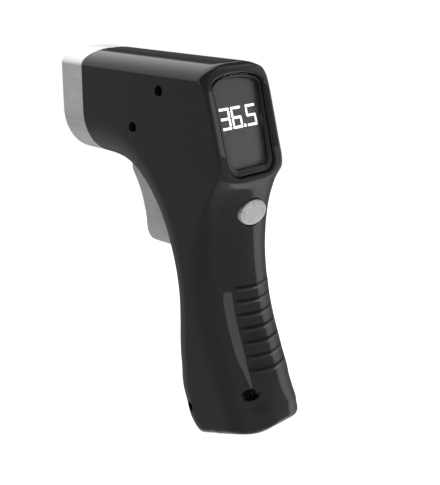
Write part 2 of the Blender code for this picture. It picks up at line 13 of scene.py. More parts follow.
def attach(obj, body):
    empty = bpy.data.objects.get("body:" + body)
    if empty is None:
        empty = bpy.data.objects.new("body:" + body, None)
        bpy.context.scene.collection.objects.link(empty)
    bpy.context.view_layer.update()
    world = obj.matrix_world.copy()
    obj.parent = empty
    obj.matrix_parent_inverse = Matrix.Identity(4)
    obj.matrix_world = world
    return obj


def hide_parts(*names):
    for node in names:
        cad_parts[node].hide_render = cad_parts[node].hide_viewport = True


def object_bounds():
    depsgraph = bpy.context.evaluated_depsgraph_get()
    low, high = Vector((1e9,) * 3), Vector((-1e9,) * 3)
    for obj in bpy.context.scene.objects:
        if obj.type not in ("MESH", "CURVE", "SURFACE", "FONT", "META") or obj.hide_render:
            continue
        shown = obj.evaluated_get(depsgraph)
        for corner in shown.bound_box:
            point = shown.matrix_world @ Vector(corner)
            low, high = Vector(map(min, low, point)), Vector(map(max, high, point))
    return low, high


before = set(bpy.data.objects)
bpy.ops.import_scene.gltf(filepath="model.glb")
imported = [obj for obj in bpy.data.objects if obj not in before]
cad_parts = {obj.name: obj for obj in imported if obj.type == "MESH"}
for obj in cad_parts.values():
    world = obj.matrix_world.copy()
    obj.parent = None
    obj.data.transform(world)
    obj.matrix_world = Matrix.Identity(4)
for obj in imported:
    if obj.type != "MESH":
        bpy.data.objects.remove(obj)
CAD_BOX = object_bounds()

MM = 0.001

# ---------------------------------------------------------------- sizes shared with the CAD (mm)
HALF_WIDTH = 20.0
WALL = 2.0
NOSE_FRONT = 15.4
BASE_X, BASE_Z = -88.0, -162.3
BASE_SLOPE = 0.34
HEAD_SLOPE = 0.269
TOP_Z = 0.9
TOP_ROUND = 18.0
SEAM = 0.45
TOP_DROP = 7.0             # how far the arched top falls to the sides
BELLY_Z, BELLY_ROUND = -48.2, 21.5
SCREWS = [(-51.2, -11.9, 2.3), (-34.0, -29.6, 2.3), (-68.5, -154.0, 2.3), (-99.8, -139.4, 2.7)]
PIVOT_X, PIVOT_Z, PIVOT_HOLE = -25.0, -43.4, 1.5
TRIGGER_HALF, TRIGGER_GAP = 8.0, 0.4
DOOR_PIN_X, DOOR_PIN_Z = -62.4, -152.0
DOOR_HALF, DOOR_TOP, DOOR_ARC, DOOR_GAP = 12.0, -92.5, 6.3, 0.2
DOOR_PIN_HOLE = 1.05
TONGUE_HALF, TONGUE_GAP, TONGUE_ARC = 5.0, 0.25, 4.5
BUTTON_X, BUTTON_Z = -88.0, -61.6
BUTTON_A, BUTTON_B = 8.2, 5.5

# ---------------------------------------------------------------- sizes of the visible detail (mm)
RIB_FIRST, RIB_LAST, RIB_COUNT = -94.3, -129.6, 7
RIB_PROUD, RIB_WIDTH = 0.55, 1.25
RIB_REACH, RIB_FADE = 9.0, 2.6
RIB_FACING = -0.3          # ribs only where the surface faces back at least this much
RIB_MARGIN = 4.0
HAIRLINE = 0.1             # visible gap between neighbouring mouldings
POST_FROM, POST_TO, POST_WALL = 0.8, 19.3, 1.3
WELL_FLOOR = 6.5
GROOVES, GROOVE_PITCH, GROOVE_R = 5, 1.6, 0.75
CREASE = 35.0              # degrees; edges sharper than this stay sharp

BARREL_RISE = math.atan(BASE_SLOPE)
PLACE = (Matrix.Rotation(-BARREL_RISE, 4, "Y")
         @ Matrix.Translation(Vector((-BASE_X * MM, 0, -BASE_Z * MM))))


def base_z(x):
    return BASE_Z - (x - BASE_X) * BASE_SLOPE


def head_x(z):
    return -76.5 + HEAD_SLOPE * z


# ---------------------------------------------------------------- outline of the housing
# belly / rear / top: centre line x, z and how far the flat side sits inside it
BELLY = [(15.4, -48.2, 21.5), (0, -48.3, 21.5), (-10, -48.9, 21.5), (-17.5, -50.3, 21.0),
         (-24, -52.8, 20.0), (-29.6, -56.3, 18.5), (-34.4, -60.5, 17.5), (-38.2, -65, 17.0),
         (-42, -70.5, 16.5), (-45.2, -76.5, 16), (-48.0, -83, 15.5), (-50.4, -90, 15),
         (-52.2, -97, 14.5), (-53.4, -104.5, 14), (-53.7, -114, 14), (-53.6, -124, 14),
         (-53.9, -131, 14), (-54.6, -138, 14), (-55.6, -144, 13.5), (-57.4, -149.5, 12.8),
         (-60.1, -155.0, 12.3)]
REAR = [(-107.1, -147, 17.5), (-105.9, -143, 18.5), (-104.3, -137, 19.5), (-102.4, -131, 20.3),
        (-100.0, -125, 21), (-98.0, -119, 22), (-95.7, -113, 22), (-93.7, -107, 22),
        (-92.1, -101, 22), (-91.0, -95, 22), (-89.7, -88, 21), (-88.8, -80, 20),
        (-88.3, -72, 17.5), (-88.0, -64, 14), (-87.9, -57, 10.0)]
TOP = [(x, TOP_Z, TOP_DROP) for x in (-69.5, -60, -40, -20, 0, NOSE_FRONT)]
# corners: centre x, z, side x, z and rounding width
FRONT_FOOT = [(-62.6, -160.2, -72.2, -155.7, 14), (-65.3, -163.8, -74.4, -159.0, 13.5),
              (-68.5, -166.5, -76.2, -160.6, 12.5),
              (-72.0, base_z(-72.0) + 0.35, -78.0, -161.3, 10.5),
              (-75.2, base_z(-75.2), -80.0, -160.8, 9.5),
              (-78.0, base_z(-78), -82.0, -160.1, 9), (-81.5, base_z(-81.5), -84.2, -159.1, 9)]
FOOT = [(-85.5, base_z(-85.5), -85.8, base_z(-85.5) + 4.0, 9),
        (-91.0, base_z(-91.0), -88.4, -158.1, 9)]
REAR_FOOT = [(-98.0, base_z(-98.0), -89.8, -157.5, 9), (-101.8, base_z(-101.8), -90.7, -157.0, 9.5),
             (-104.9, base_z(-104.9) + 0.15, -91.2, -156.4, 11),
             (-107.1, base_z(-107.1) + 1.1, -91.3, -155.6, 13.5),
             (-108.3, -153.0, -91.2, -154.8, 16), (-107.9, -150.2, -90.9, -153.8, 17)]
HEAD_LOW = [(-88.3, -51.0, -82.5, -49.2, 20), (-89.2, -47.8, -84.9, -45.2, 15),
            (-89.1, -46.3, -86.0, -43.0, 9), (-88.5, -44.2, -86.2, -41.0, 4.5),
            (-87.5, -40.5, -85.6, -37.4, 2.0)]
HEAD_MID = [(head_x(-34), -34, head_x(-34) + 1.4, -33.4, 1.6),
            (head_x(-22), -22, head_x(-22) + 1.4, -21.4, 1.6)]
HEAD_TOP = [(head_x(-11), -11.0, head_x(-11) + 1.5, -11.4, 1.6),
            (head_x(-6.5), -6.1, head_x(-6.5) + 1.9, -7.8, 3.0),
            (head_x(-3.2), -2.9, head_x(-3.2) + 2.6, -6.5, 5.5),
            (head_x(-1.6), -1.3, -74.0, -6.0, 9), (-76.3, -0.2, -72.6, -5.9, 13.5),
            (-74.6, 0.7, -71.4, -6.0, 17)]


def rounding(z):
    """Width of the rounded edge: less over the top and towards the foot, full elsewhere."""
    return TOP_ROUND if z > -1 else 20.0 - 6.0 * min(1.0, max(0.0, (-137 - z) / 17))


def with_side(keys):
    k = np.array(keys, float)
    t = np.gradient(k[:, :2], axis=0)
    t /= np.linalg.norm(t, axis=1)[:, None]
    n = np.stack([t[:, 1], -t[:, 0]], 1)
    s = k[:, :2] + n * k[:, 2:3]
    return [(a[0], a[1], b[0], b[1], rounding(a[1])) for a, b in zip(k, s)]


KEYS = np.array(with_side(BELLY) + FRONT_FOOT + FOOT + REAR_FOOT + with_side(REAR)
                + HEAD_LOW + HEAD_MID + HEAD_TOP + with_side(TOP), float)


def catmull(a, b, c, d, t):
    q = 2 * b + (c - a) * t + (2 * a - 5 * b + 4 * c - d) * t * t
    return 0.5 * (q + (3 * b - a - 3 * c + d) * t ** 3)


def outline(coarse, fine):
    """Stations round the housing; `fine` steps per key where the grip ribs are."""
    k = KEYS
    p = np.vstack([2 * k[0] - k[1], k, 2 * k[-1] - k[-2]])
    out = []
    for i in range(1, len(p) - 2):
        a, b, c, d = p[i - 1:i + 3]
        ribbed = b[0] < -88 and -138 < b[1] < -87
        steps = fine if ribbed else coarse
        out += [catmull(a, b, c, d, j / steps) for j in range(steps)]
    out.append(k[-1])
    out = np.array(out)
    out[:, 4] = np.clip(out[:, 4], 1.4, 20.0)
    return out


def smoothstep(e0, e1, x):
    t = np.clip((x - e0) / (e1 - e0), 0.0, 1.0)
    return t * t * (3 - 2 * t)


# ---------------------------------------------------------------- mesh helpers
def raw(name, verts, faces):
    me = bpy.data.meshes.new(name)
    me.from_pydata([tuple(v) for v in verts], [], faces)
    bm = bmesh.new()
    bm.from_mesh(me)
    bmesh.ops.remove_doubles(bm, verts=bm.verts, dist=1e-5)
    bmesh.ops.dissolve_degenerate(bm, edges=bm.edges, dist=1e-5)
    bmesh.ops.recalc_face_normals(bm, faces=bm.faces)
    bm.to_mesh(me)
    bm.free()
    ob = bpy.data.objects.new(name, me)
    bpy.context.scene.collection.objects.link(ob)
    return ob


def combine(a, b, op):
    m = a.modifiers.new("bool", "BOOLEAN")
    m.operation = op
    m.solver = "EXACT"
    m.object = b
    dg = bpy.context.evaluated_depsgraph_get()
    dg.update()
    me = bpy.data.meshes.new_from_object(a.evaluated_get(dg))
    a.modifiers.clear()
    a.data = me
    bpy.data.objects.remove(b)
    return a


def cut(a, *tools):
    for t in tools:
        combine(a, t, "DIFFERENCE")
    return a


def fuse(a, *parts):
    for t in parts:
        combine(a, t, "UNION")
    return a


def keep(a, t):
    return combine(a, t, "INTERSECT")


def copy_of(a, name="copy"):
    ob = bpy.data.objects.new(name, a.data.copy())
    bpy.context.scene.collection.objects.link(ob)
    return ob


def group(*obs):
    """Several solids that don't touch, as one mesh."""
    bm = bmesh.new()
    for o in obs:
        bm.from_mesh(o.data)
    bm.to_mesh(obs[0].data)
    bm.free()
    for o in obs[1:]:
        bpy.data.objects.remove(o)
    return obs[0]


def slab(x0, x1, y0, y1, z0, z1):
    """Square-edged block."""
    vs = [(x, y, z) for x in (x0, x1) for y in (y0, y1) for z in (z0, z1)]
    fs = [(0, 1, 3, 2), (4, 6, 7, 5), (0, 4, 5, 1), (2, 3, 7, 6), (0, 2, 6, 4), (1, 5, 7, 3)]
    return raw("slab", vs, fs)


def stack(loops, name="stack", closed=False):
    """Skin through loops of equal length, capped at both ends, or closed on itself."""
    k = len(loops[0])
    vs = [p for loop in loops for p in loop]
    fs = []
    last = len(loops) if closed else len(loops) - 1
    for a in range(last):
        b = (a + 1) % len(loops)
        fs += [(a * k + i, a * k + (i + 1) % k, b * k + (i + 1) % k, b * k + i) for i in range(k)]
    if not closed:
        fs.append(tuple(range(k)))
        fs.append(tuple(range(len(vs) - 1, len(vs) - 1 - k, -1)))
    return raw(name, vs, fs)


def rod(p0, p1, r, count=32):
    """Round bar of radius r from p0 to p1."""
    p0, p1 = Vector(p0), Vector(p1)
    n = (p1 - p0).normalized()
    u = n.orthogonal().normalized()
    v = n.cross(u)
    ring = [(math.cos(2 * math.pi * i / count), math.sin(2 * math.pi * i / count))
            for i in range(count)]
    return stack([[p + u * (c * r) + v * (d * r) for c, d in ring] for p in (p0, p1)])


def cross_rod(x, z, half, r, count):
    """Round bar that lies across the instrument, from side to side."""
    return rod((x, -half, z), (x, half, z), r, count)


OVAL_STEPS = 64


def oval(a, b):
    t = [2 * math.pi * i / OVAL_STEPS for i in range(OVAL_STEPS)]
    return [(a * math.cos(x), b * math.sin(x)) for x in t]


def smooth_line(points, steps):
    """Smooth line through the points, with `steps` pieces between neighbours."""
    p = np.array(points, float)
    q = np.vstack([2 * p[0] - p[1], p, 2 * p[-1] - p[-2]])
    out = []
    for i in range(1, len(q) - 2):
        out += [tuple(catmull(*q[i - 1:i + 3], j / steps)) for j in range(steps)]
    return out + [tuple(p[-1])]


def place(ob, name, body, mat, replaces=(), weighted=True):
    """Name it, scale to metres, stand it in the row frame, shade it and hang it on its body."""
    ob.name = name
    ob.data.name = name
    ob.data.transform(PLACE @ Matrix.Scale(MM, 4))
    ob.data.materials.clear()
    ob.data.materials.append(mat)
    ob.data.shade_smooth()
    ob.data.set_sharp_from_angle(angle=math.radians(CREASE))
    if weighted:
        m = ob.modifiers.new("weighted", "WEIGHTED_NORMAL")
        m.mode = "FACE_AREA_WITH_ANGLE"
        m.weight = 50
        m.keep_sharp = True
    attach(ob, body)
    if replaces:
        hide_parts(*replaces)
    return ob


# ---------------------------------------------------------------- materials
CLOUD = 60.0               # scale of the slow change of tint over a piece
CLOUD_DETAIL, GRAIN_DETAIL = 4.0, 3.0
SPECK_SHARE = 0.35         # how much the finest texture adds to the bump
BUMP_DEPTH = 0.0006        # metres


def shader(name):
    m = bpy.data.materials.new(name)
    m.use_nodes = True
    nt = m.node_tree
    return m, nt, nt.nodes["Principled BSDF"]


def surface(name, base, rough, metal=0.0, specular=0.5, grain=900.0, stretch=(1, 1, 1),
            bump=0.02, tint=0.12, rough_swing=0.06, speck=6000.0, alpha=1.0, emit=0.0, spread=0.5):
    """Moulded or metal finish: cloudy tint, grain and fine texture in base, roughness and bump."""
    m, nt, b = shader(name)
    link = nt.links.new
    co = nt.nodes.new("ShaderNodeTexCoord")
    lay = nt.nodes.new("ShaderNodeMapping")
    lay.inputs["Rotation"].default_value = (0, BARREL_RISE, 0)
    link(co.outputs["Object"], lay.inputs["Vector"])
    mp = nt.nodes.new("ShaderNodeMapping")
    mp.inputs["Scale"].default_value = stretch
    link(lay.outputs["Vector"], mp.inputs["Vector"])
    big = nt.nodes.new("ShaderNodeTexNoise")
    big.inputs["Scale"].default_value = CLOUD
    big.inputs["Detail"].default_value = CLOUD_DETAIL
    link(co.outputs["Object"], big.inputs["Vector"])
    fine = nt.nodes.new("ShaderNodeTexNoise")
    fine.inputs["Scale"].default_value = grain
    fine.inputs["Detail"].default_value = GRAIN_DETAIL
    link(mp.outputs["Vector"], fine.inputs["Vector"])
    tiny = nt.nodes.new("ShaderNodeTexNoise")
    tiny.inputs["Scale"].default_value = speck
    link(mp.outputs["Vector"], tiny.inputs["Vector"])
    ramp = nt.nodes.new("ShaderNodeMix")
    ramp.data_type = "RGBA"
    ramp.inputs["A"].default_value = (*[c * (1 - tint) for c in base], 1)
    ramp.inputs["B"].default_value = (*[min(1.0, c * (1 + tint)) for c in base], 1)
    add = nt.nodes.new("ShaderNodeMath")
    add.operation = "MULTIPLY_ADD"
    add.inputs[1].default_value = 0.5
    link(big.outputs["Fac"], add.inputs[0])
    half = nt.nodes.new("ShaderNodeMath")
    half.operation = "MULTIPLY"
    half.inputs[1].default_value = 0.5
    link(fine.outputs["Fac"], half.inputs[0])
    link(half.outputs[0], add.inputs[2])
    sharp = nt.nodes.new("ShaderNodeMapRange")
    sharp.inputs["From Min"].default_value = 0.5 - 0.5 * spread
    sharp.inputs["From Max"].default_value = 0.5 + 0.5 * spread
    link(add.outputs[0], sharp.inputs["Value"])
    link(sharp.outputs["Result"], ramp.inputs["Factor"])
    link(ramp.outputs["Result"], b.inputs["Base Color"])
    rr = nt.nodes.new("ShaderNodeMapRange")
    rr.inputs["To Min"].default_value = max(0.02, rough - rough_swing)
    rr.inputs["To Max"].default_value = rough + rough_swing
    rr.inputs["From Min"].default_value = 0.25
    rr.inputs["From Max"].default_value = 0.75
    link(add.outputs[0], rr.inputs["Value"])
    link(rr.outputs["Result"], b.inputs["Roughness"])
    mix = nt.nodes.new("ShaderNodeMath")
    mix.operation = "MULTIPLY_ADD"
    mix.inputs[1].default_value = SPECK_SHARE
    link(tiny.outputs["Fac"], mix.inputs[0])
    link(fine.outputs["Fac"], mix.inputs[2])
    bp = nt.nodes.new("ShaderNodeBump")
    bp.inputs["Strength"].default_value = bump
    bp.inputs["Distance"].default_value = BUMP_DEPTH
    link(mix.outputs[0], bp.inputs["Height"])
    link(bp.outputs["Normal"], b.inputs["Normal"])
    b.inputs["Metallic"].default_value = metal
    b.inputs["Specular IOR Level"].default_value = specular
    b.inputs["Alpha"].default_value = alpha
    if emit:
        b.inputs["Emission Color"].default_value = (*base, 1)
        b.inputs["Emission Strength"].default_value = emit
    return m


GLOSS = surface("black_gloss", (0.004, 0.004, 0.0042), 0.11, specular=0.3, grain=700, bump=0.008,
                rough_swing=0.03)
# painted reflection: the grip strip's base grey is lighter than the housing's to stand in for light
# off its facet
SATIN_PAINTED_SHEEN = surface("grip_satin_painted_sheen", (0.028, 0.028, 0.0285), 0.6, specular=0.25, grain=2500, bump=0.12)
BEZEL = surface("bezel_black", (0.004, 0.004, 0.0042), 0.16, specular=0.3, grain=900, bump=0.01)
DARK = surface("inner_black", (0.012, 0.012, 0.012), 0.5, specular=0.3, grain=1500, bump=0.08)
SILVER = surface("silver_brushed", (0.195, 0.195, 0.197), 0.34, metal=0.3, grain=1300,
                 stretch=(0.07, 1, 1), bump=0.03, tint=0.24, rough_swing=0.06, speck=5000,
                 spread=0.55)
BUTTON_SILVER = surface("button_silver", (0.345, 0.345, 0.35), 0.32, metal=0.6, grain=850,
                        bump=0.6, tint=0.36, rough_swing=0.08, spread=0.35)
ICON = surface("icon_grey", (0.36, 0.36, 0.37), 0.5, metal=0.6, grain=3200, bump=0.05)
LCD = surface("lcd_face", (0.035, 0.035, 0.035), 0.35, specular=0.3, grain=1800, bump=0.02,
              tint=0.06)
DIGIT = surface("lcd_digit", (0.9, 0.9, 0.9), 0.4, grain=1800, bump=0.01, tint=0.02, emit=0.75)
LENS = surface("lens_clear", (0.1, 0.1, 0.1), 0.06, specular=0.4, bump=0.004, alpha=0.06)
STEEL = surface("steel", (0.5, 0.5, 0.5), 0.3, metal=1.0, grain=1600, bump=0.05)
PLATED = surface("plated_steel", (0.62, 0.58, 0.48), 0.28, metal=1.0, grain=1600, bump=0.05)
BOARD = surface("board_green", (0.015, 0.10, 0.04), 0.45, grain=1200, bump=0.05, tint=0.3)
CHIP = surface("chip_black", (0.015, 0.015, 0.015), 0.5, grain=3000, bump=0.1)
CAN = surface("can_metal", (0.42, 0.42, 0.42), 0.26, metal=1.0, grain=1500, bump=0.04)
FILTER = surface("filter_glass", (0.02, 0.025, 0.04), 0.08, specular=0.6, bump=0.004)
WHITE = surface("white_plastic", (0.7, 0.7, 0.68), 0.4, grain=1500, bump=0.03)
RUBBER = surface("grey_rubber", (0.08, 0.08, 0.08), 0.8, grain=1800, bump=0.1)
WRAP = surface("cell_wrap", (0.05, 0.13, 0.30), 0.32, grain=1200, bump=0.03)

# ---------------------------------------------------------------- housing hulls
# degrees round the soft edge: 0 at the outline, 90 at the flat side
RINGS = sorted(set([3.0 * i for i in range(13)] + [36 + 6.0 * i for i in range(10)]))
COARSE_RINGS = [0, 22.5, 45, 67.5, 90]
SIDE_SHARE = 0.45          # how much of an inset the flat side's edge takes
LEAST_ROUND, LEAST_OUTER = 1.0, 2.0
HOLLOW_PAST = 3.0          # the hollow runs out beyond the nose


def hull(coarse, fine, angles, inset=0.0, name="hull"):
    """Housing form as a closed solid, drawn in by `inset` on every side."""
    o = outline(coarse, fine)
    n = len(o)
    half = HALF_WIDTH - inset
    if inset:
        for cols, share in (((0, 1), 1.0), ((2, 3), SIDE_SHARE)):
            p = o[:, cols]
            t = np.roll(p, -1, 0) - np.roll(p, 1, 0)
            t[0], t[-1] = p[1] - p[0], p[-1] - p[-2]
            t /= np.linalg.norm(t, axis=1)[:, None] + 1e-9
            o[:, cols] = p + np.stack([t[:, 1], -t[:, 0]], 1) * inset * share
        ratio = (half - LEAST_ROUND) / (HALF_WIDTH - LEAST_OUTER)
        o[:, 4] = LEAST_ROUND + (o[:, 4] - LEAST_OUTER) * ratio
        o[0, 0] = o[0, 2] = o[-1, 0] = o[-1, 2] = NOSE_FRONT + HOLLOW_PAST
    rows = []
    for side in (-1, 1):
        for deg in (reversed(angles) if side < 0 else angles):
            a = math.radians(deg)
            y = side * (half - o[:, 4] + o[:, 4] * math.sin(a))
            x = o[:, 2] + (o[:, 0] - o[:, 2]) * math.cos(a)
            z = o[:, 3] + (o[:, 1] - o[:, 3]) * math.cos(a)
            rows.append([(x[i], y[i], z[i]) for i in range(n)])
    return stack(rows, name)


def add_ribs(ob):
    """Seven soft ridges across the back of the grip, fading out towards the flat sides."""
    me = ob.data
    bm = bmesh.new()
    bm.from_mesh(me)
    bm.normal_update()
    centres = np.linspace(RIB_FIRST, RIB_LAST, RIB_COUNT)
    for v in bm.verts:
        x, y, z = v.co
        if v.normal.x > RIB_FACING or not RIB_LAST - RIB_MARGIN < z < RIB_FIRST + RIB_MARGIN:
            continue
        fade = 1.0 - smoothstep(RIB_REACH, RIB_REACH + RIB_FADE, abs(y))
        d = (z - centres[np.argmin(abs(centres - z))]) / RIB_WIDTH
        if fade > 0 and abs(d) < 1.0:
            v.co += v.normal * float(RIB_PROUD * fade * (1 - d * d) ** 2)
    bm.to_mesh(me)
    bm.free()


# ---------------------------------------------------------------- display outline
UP = Vector((HEAD_SLOPE, 0, 1)).normalized()
OUT = Vector((0, 1, 0)).cross(UP)
OUT = OUT if OUT.x < 0 else -OUT
FACE_Z = -22.6
FACE = Vector((head_x(FACE_Z), 0, FACE_Z))
SIDE = UP.cross(OUT)
# half widths at top and bottom, heights of top and bottom, rise of the arch, lower corner radius
OPEN = np.array((15.3, 14.4, 19.6, -23.4, 4.6, 6.5))
RIM = np.array((14.95, 14.05, 19.2, -23.0, 4.5, 6.2))
WINDOW = np.array((13.5, 11.2, 18.0, -19.8, 3.6, 3.6))
PANE = np.array((13.42, 11.12, 17.92, -19.72, 3.57, 3.55))


def window(size, fine=3):
    """Display outline: arched top, leaning sides, rounded lower corners."""
    hw_top, hw_low, v_top, v_low, arch, r_low = size
    n = 8 * fine
    pts = []
    for i in range(n + 1):
        t = math.pi / 2 * (1 - i / n)
        pts.append((hw_top * math.sin(t), v_top - arch * (1 - math.cos(t))))
    left = [(-x, y) for x, y in reversed(pts[:-1])]
    low = []
    n = 6 * fine
    for i in range(n + 1):
        t = math.pi / 2 * i / n
        low.append((-hw_low + r_low - r_low * math.cos(t), v_low + r_low - r_low * math.sin(t)))
    return pts + left + low + [(-x, y) for x, y in reversed(low)]


def grown(size, g):
    """The same outline moved outwards by g."""
    return size + np.array((g, g, g, -g, 0.4 * g, 0.6 * g))


def face_loop(size, c, fine=3):
    """The outline on the display face, raised by c."""
    return [FACE + SIDE * p[0] + UP * p[1] + OUT * c for p in window(size, fine)]


def face_stack(levels, closed=False, fine=3):
    return stack([face_loop(s, c, fine) for s, c in levels], closed=closed)


def face_point(a, b, c):
    return FACE + SIDE * a + UP * b + OUT * c


# ---------------------------------------------------------------- button outline
BUTTON = Vector((BUTTON_X, 0, BUTTON_Z))
# the crown: share of the outline and height above the grip
CROWN = [(1.0, 0.1), (0.992, 0.3), (0.972, 0.48), (0.93, 0.63), (0.86, 0.76), (0.7, 0.93),
         (0.5, 1.05), (0.3, 1.12), (0.12, 1.15), (0.02, 1.155)]


def button_loop(scale, c, extra=0.0):
    return [BUTTON + Vector((-c, p[0], p[1]))
            for p in oval((BUTTON_A + extra) * scale, (BUTTON_B + extra) * scale)]


# ---------------------------------------------------------------- black housing
DOOR_SPAN = (-72, -40)     # X range that holds the cover
BAY_SILL = 0.11
ACROSS = 20                # half length of a tool that passes through the whole grip
SLOT = [(-18.7, -44.5), (-18.7, -60), (-28, -86), (-44, -86), (-49.8, -86.2), (-56, -86.2),
        (-56, -60)]
HULL = hull(4, 20, RINGS)
INNER = hull(1, 1, COARSE_RINGS, WALL, "inner")
MID = hull(1, 1, COARSE_RINGS, WALL * 0.5, "mid")
PLAIN = copy_of(HULL, "plain")
add_ribs(HULL)


def sheet_xz(points, y0, y1):
    """Outline in X and Z drawn out across the instrument."""
    return stack([[Vector((x, y, z)) for x, z in points] for y in (y0, y1)])


def door_bay():
    """Opening for the battery cover, with room for its tongue round the pin."""
    half = DOOR_HALF + DOOR_GAP
    bay = slab(*DOOR_SPAN, -half, half, DOOR_PIN_Z + BAY_SILL, DOOR_TOP + DOOR_GAP)
    cut(bay, cross_rod(DOOR_PIN_X, DOOR_PIN_Z, ACROSS, DOOR_ARC - DOOR_GAP, 96))
    turn = [math.radians(90 + 15 * i) for i in range(18)]
    poly = [(TONGUE_ARC * math.cos(t), TONGUE_ARC * math.sin(t)) for t in turn]
    poly += [(12, -1.2), (12, 7), (0.2, 7)]
    poly = [(DOOR_PIN_X + p, DOOR_PIN_Z + q) for p, q in poly]
    return fuse(bay, sheet_xz(poly, -TONGUE_HALF - TONGUE_GAP, TONGUE_HALF + TONGUE_GAP))


def openings():
    """Everything that opens the wall: display, button, trigger slot and battery bay."""
    display = face_stack([(OPEN, -6), (OPEN, -0.75), (grown(OPEN, 0.08), -0.5),
                          (grown(OPEN, 0.25), -0.25), (grown(OPEN, 0.5), -0.08),
                          (grown(OPEN, 0.8), 0.02), (grown(OPEN, 0.8), 6)], fine=2)
    button = stack([button_loop(1, c, e) for e, c in
                    ((0.3, -8), (0.3, -0.9), (0.36, -0.55), (0.5, -0.25), (0.75, 0.0), (1.1, 0.5),
                     (1.1, 8))])
    slot = sheet_xz(SLOT, -TRIGGER_HALF - TRIGGER_GAP, TRIGGER_HALF + TRIGGER_GAP)
    return fuse(copy_of(INNER), display, button, slot, door_bay())


TOOLS = openings()
# the black mouldings end at X = 0, where the silver nose begins
left = keep(copy_of(HULL, "left"), slab(-150, 0, SEAM + 0.5 * HAIRLINE, 30, -200, 40))
cut(left, copy_of(TOOLS))
posts = group(*[rod((x, POST_FROM, z), (x, POST_TO, z), r + POST_WALL) for x, z, r in SCREWS])
fuse(left, keep(posts, copy_of(MID)))
wells = []
for x, z, r in SCREWS:
    y = 20.0 if z > -100 else 30.0      # where the mouth softens: only the head is flat at the side
    wells.append(stack([[Vector((x + q * math.cos(t), p, z + q * math.sin(t)))
                         for t in np.linspace(0, 2 * math.pi, 41)[:-1]]
                        for p, q in ((WELL_FLOOR, r), (y - 0.35, r), (y - 0.1, r + 0.12),
                                     (y + 0.05, r + 0.35), (y + 4, r + 0.35))]))
cut(left, group(*wells))
right = keep(HULL, slab(-150, 0, -30, SEAM - 0.5 * HAIRLINE, -200, 40))
cut(right, TOOLS)
place(left, "housing_left", "body", GLOSS, ["left_shell"])
place(right, "housing_right", "body", GLOSS, ["right_shell"])

# ---------------------------------------------------------------- matte inlays beside the ribs, lighter grey as a painted reflection
INLAY_TOP, INLAY_LOW = -94.0, -135.6
INLAY_PROUD, INLAY_SUNK, INLAY_EDGE = 0.16, -0.5, 0.14
INLAY_COLS = 7
# distance from the middle plane against height, 0 at the foot and 1 at the top
INLAY_NEAR = ([0, 0.35, 0.94, 0.98, 1.0], [12.1, 11.6, 11.6, 11.8, 12.3])
INLAY_FAR = ([0, 0.35, 0.9, 0.97, 1.0], [12.6, 14.4, 14.6, 14.4, 13.8])


def hull_point(o, angle, side, lift):
    """Points along the outline at one angle round the section, lifted off the surface."""
    a = math.radians(angle)
    x = o[:, 2] + (o[:, 0] - o[:, 2]) * math.cos(a)
    y = o[:, 4] * math.sin(a) + HALF_WIDTH - o[:, 4]
    z = o[:, 3] + (o[:, 1] - o[:, 3]) * math.cos(a)
    depth = np.hypot(o[:, 0] - o[:, 2], o[:, 1] - o[:, 3])
    tx, tz = (o[:, 0] - o[:, 2]) / depth, (o[:, 1] - o[:, 3]) / depth
    nx, ny = math.cos(a) / depth, math.sin(a) / o[:, 4]
    m = np.hypot(nx, ny)
    return np.stack([x + tx * nx / m * lift, side * (y + ny / m * lift), z + tz * nx / m * lift], 1)


def inlay(side):
    """Thin matte strip that lies on the housing beside the ribs; its lighter grey is painted
    reflection.
    """
    o = outline(4, 10)
    o = o[(o[:, 0] < -80) & (o[:, 1] > INLAY_LOW) & (o[:, 1] < INLAY_TOP)]
    t = (o[:, 1] - INLAY_LOW) / (INLAY_TOP - INLAY_LOW)
    near, far = np.interp(t, *INLAY_NEAR), np.interp(t, *INLAY_FAR)
    faces = []
    for lift in (INLAY_PROUD, INLAY_SUNK):
        grid = []
        for c in range(INLAY_COLS):
            want = near + (far - near) * c / (INLAY_COLS - 1)
            edge = INLAY_EDGE if lift > 0 and c in (0, INLAY_COLS - 1) else 0.0
            angles = [math.degrees(math.asin(min(1.0, w / HALF_WIDTH))) for w in want]
            grid.append([hull_point(o[i:i + 1], a, side, lift - edge)[0]
                         for i, a in enumerate(angles)])
        faces.append(grid)
    top, under = faces
    return stack([[Vector(col[i]) for col in top] + [Vector(col[i]) for col in reversed(under)]
                  for i in range(len(o))])


place(inlay(1), "grip_inlay_left", "body", SATIN_PAINTED_SHEEN, weighted=False)
place(inlay(-1), "grip_inlay_right", "body", SATIN_PAINTED_SHEEN, weighted=False)

# ---------------------------------------------------------------- battery door
door = cut(copy_of(PLAIN, "door"), copy_of(INNER))
keep(door, slab(*DOOR_SPAN, -DOOR_HALF, DOOR_HALF, DOOR_PIN_Z, DOOR_TOP))
cut(door, cross_rod(DOOR_PIN_X, DOOR_PIN_Z, ACROSS, DOOR_ARC, 96))
TONGUE = [(-1.9, -1.2), (-0.9, -1.9), (1.0, -1.9), (2.2, -0.9), (12, -0.9), (12, 8.5), (3.6, 8.5),
          (2.2, 5.0), (-1.4, 1.6)]
tongue = sheet_xz([(DOOR_PIN_X + p, DOOR_PIN_Z + q) for p, q in TONGUE],
                  -TONGUE_HALF, TONGUE_HALF)
fuse(door, keep(tongue, copy_of(PLAIN)))
cut(door, cross_rod(DOOR_PIN_X, DOOR_PIN_Z, 14, DOOR_PIN_HOLE, 24))
grooves = []               # grip for a thumb, narrower downwards
for i in range(GROOVES):
    z = DOOR_TOP - 5.0 - GROOVE_PITCH * i
    grooves.append(cross_rod(-51.0 - 0.08 * i, z, 5.5 - 0.6 * i, GROOVE_R, 16))
cut(door, group(*grooves))
place(door, "battery_cover", "door", GLOSS, ["battery_door"])
bpy.data.objects.remove(PLAIN)
bpy.data.objects.remove(MID)
bpy.data.objects.remove(INNER)


# ---------------------------------------------------------------- silver nose
NOSE_STEPS = 20


